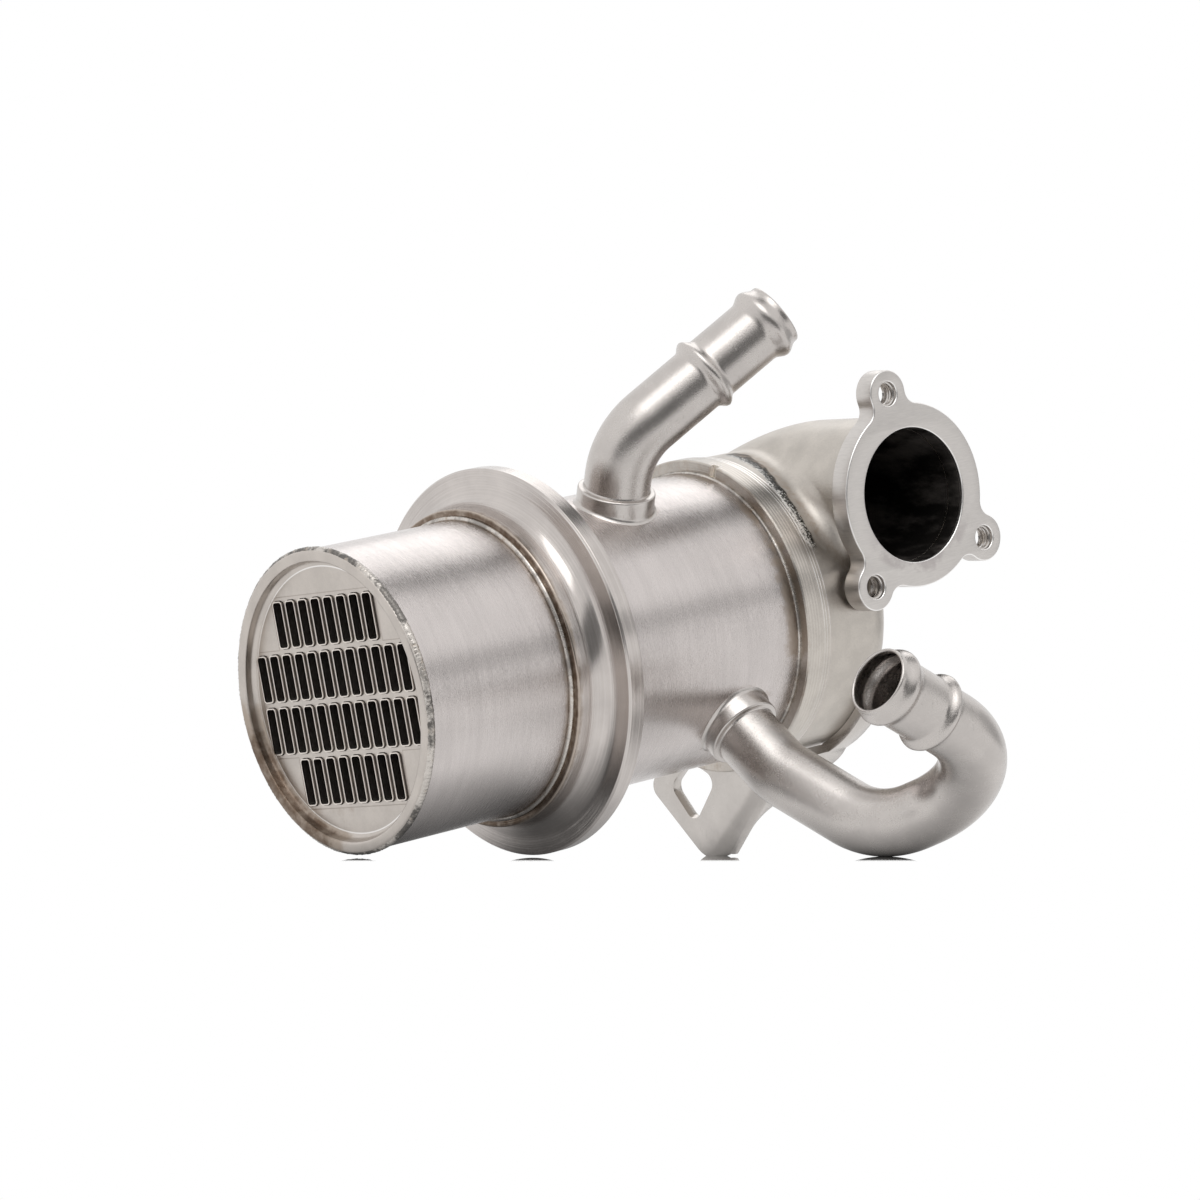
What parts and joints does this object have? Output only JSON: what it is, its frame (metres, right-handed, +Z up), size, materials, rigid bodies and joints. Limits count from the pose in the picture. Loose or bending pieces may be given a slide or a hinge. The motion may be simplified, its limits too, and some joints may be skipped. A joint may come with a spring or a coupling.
{
  "type": "egr cooler",
  "caption": "Exhaust gas recirculation cooler: round shell with a tube bundle, ring flange, cast elbow outlet, two bent coolant pipes and a bracket.",
  "frame": {"origin": "centre of the inlet mouth, on the gas axis in the plane of the inlet rim", "axes": "+X along the gas axis from the inlet to the rear, -Y the way the outlet flange faces, +Z up"},
  "size_m": [0.199, 0.1752, 0.1588],
  "materials": {
    "shell": "brushed stainless tube with fine scratches round it",
    "header_plate": "satin pressed sheet",
    "gas_tube": "thin drawn steel, dull inside",
    "ring_flange": "smooth turned steel",
    "cast_housing": "cast stainless steel, finely blasted",
    "outlet_plate": "milled flat with bright edges",
    "coolant_pipe": "satin bent steel tube",
    "bracket": "satin pressed sheet",
    "weld_metal": "rough weld with brown heat tint"
  },
  "bodies": {
    "root": {"gas_tube_1_1": "gas_tube", "gas_tube_1_2": "gas_tube", "gas_tube_1_3": "gas_tube", "gas_tube_1_4": "gas_tube", "gas_tube_1_5": "gas_tube", "gas_tube_1_6": "gas_tube", "gas_tube_1_7": "gas_tube", "gas_tube_1_8": "gas_tube", "gas_tube_2_1": "gas_tube", "gas_tube_2_10": "gas_tube", "gas_tube_2_11": "gas_tube", "gas_tube_2_12": "gas_tube", "gas_tube_2_2": "gas_tube", "gas_tube_2_3": "gas_tube", "gas_tube_2_4": "gas_tube", "gas_tube_2_5": "gas_tube", "gas_tube_2_6": "gas_tube", "gas_tube_2_7": "gas_tube", "gas_tube_2_8": "gas_tube", "gas_tube_2_9": "gas_tube", "gas_tube_3_1": "gas_tube", "gas_tube_3_10": "gas_tube", "gas_tube_3_11": "gas_tube", "gas_tube_3_12": "gas_tube", "gas_tube_3_2": "gas_tube", "gas_tube_3_3": "gas_tube", "gas_tube_3_4": "gas_tube", "gas_tube_3_5": "gas_tube", "gas_tube_3_6": "gas_tube", "gas_tube_3_7": "gas_tube", "gas_tube_3_8": "gas_tube", "gas_tube_3_9": "gas_tube", "gas_tube_4_1": "gas_tube", "gas_tube_4_2": "gas_tube", "gas_tube_4_3": "gas_tube", "gas_tube_4_4": "gas_tube", "gas_tube_4_5": "gas_tube", "gas_tube_4_6": "gas_tube", "gas_tube_4_7": "gas_tube", "gas_tube_4_8": "gas_tube", "header_weld": "weld_metal", "inlet_header_plate": "header_plate", "lower_collar": "coolant_pipe", "lower_coolant_pipe": "coolant_pipe", "outlet_flange": "outlet_plate", "outlet_flange_weld": "weld_metal", "rear_header_plate": "header_plate", "rear_housing": "cast_housing", "rear_seam_weld": "weld_metal", "ring_flange": "ring_flange", "ring_weld": "weld_metal", "shell": "shell", "support_bracket": "bracket", "upper_collar": "coolant_pipe", "upper_coolant_pipe": "coolant_pipe"}
  },
  "joints": []
}
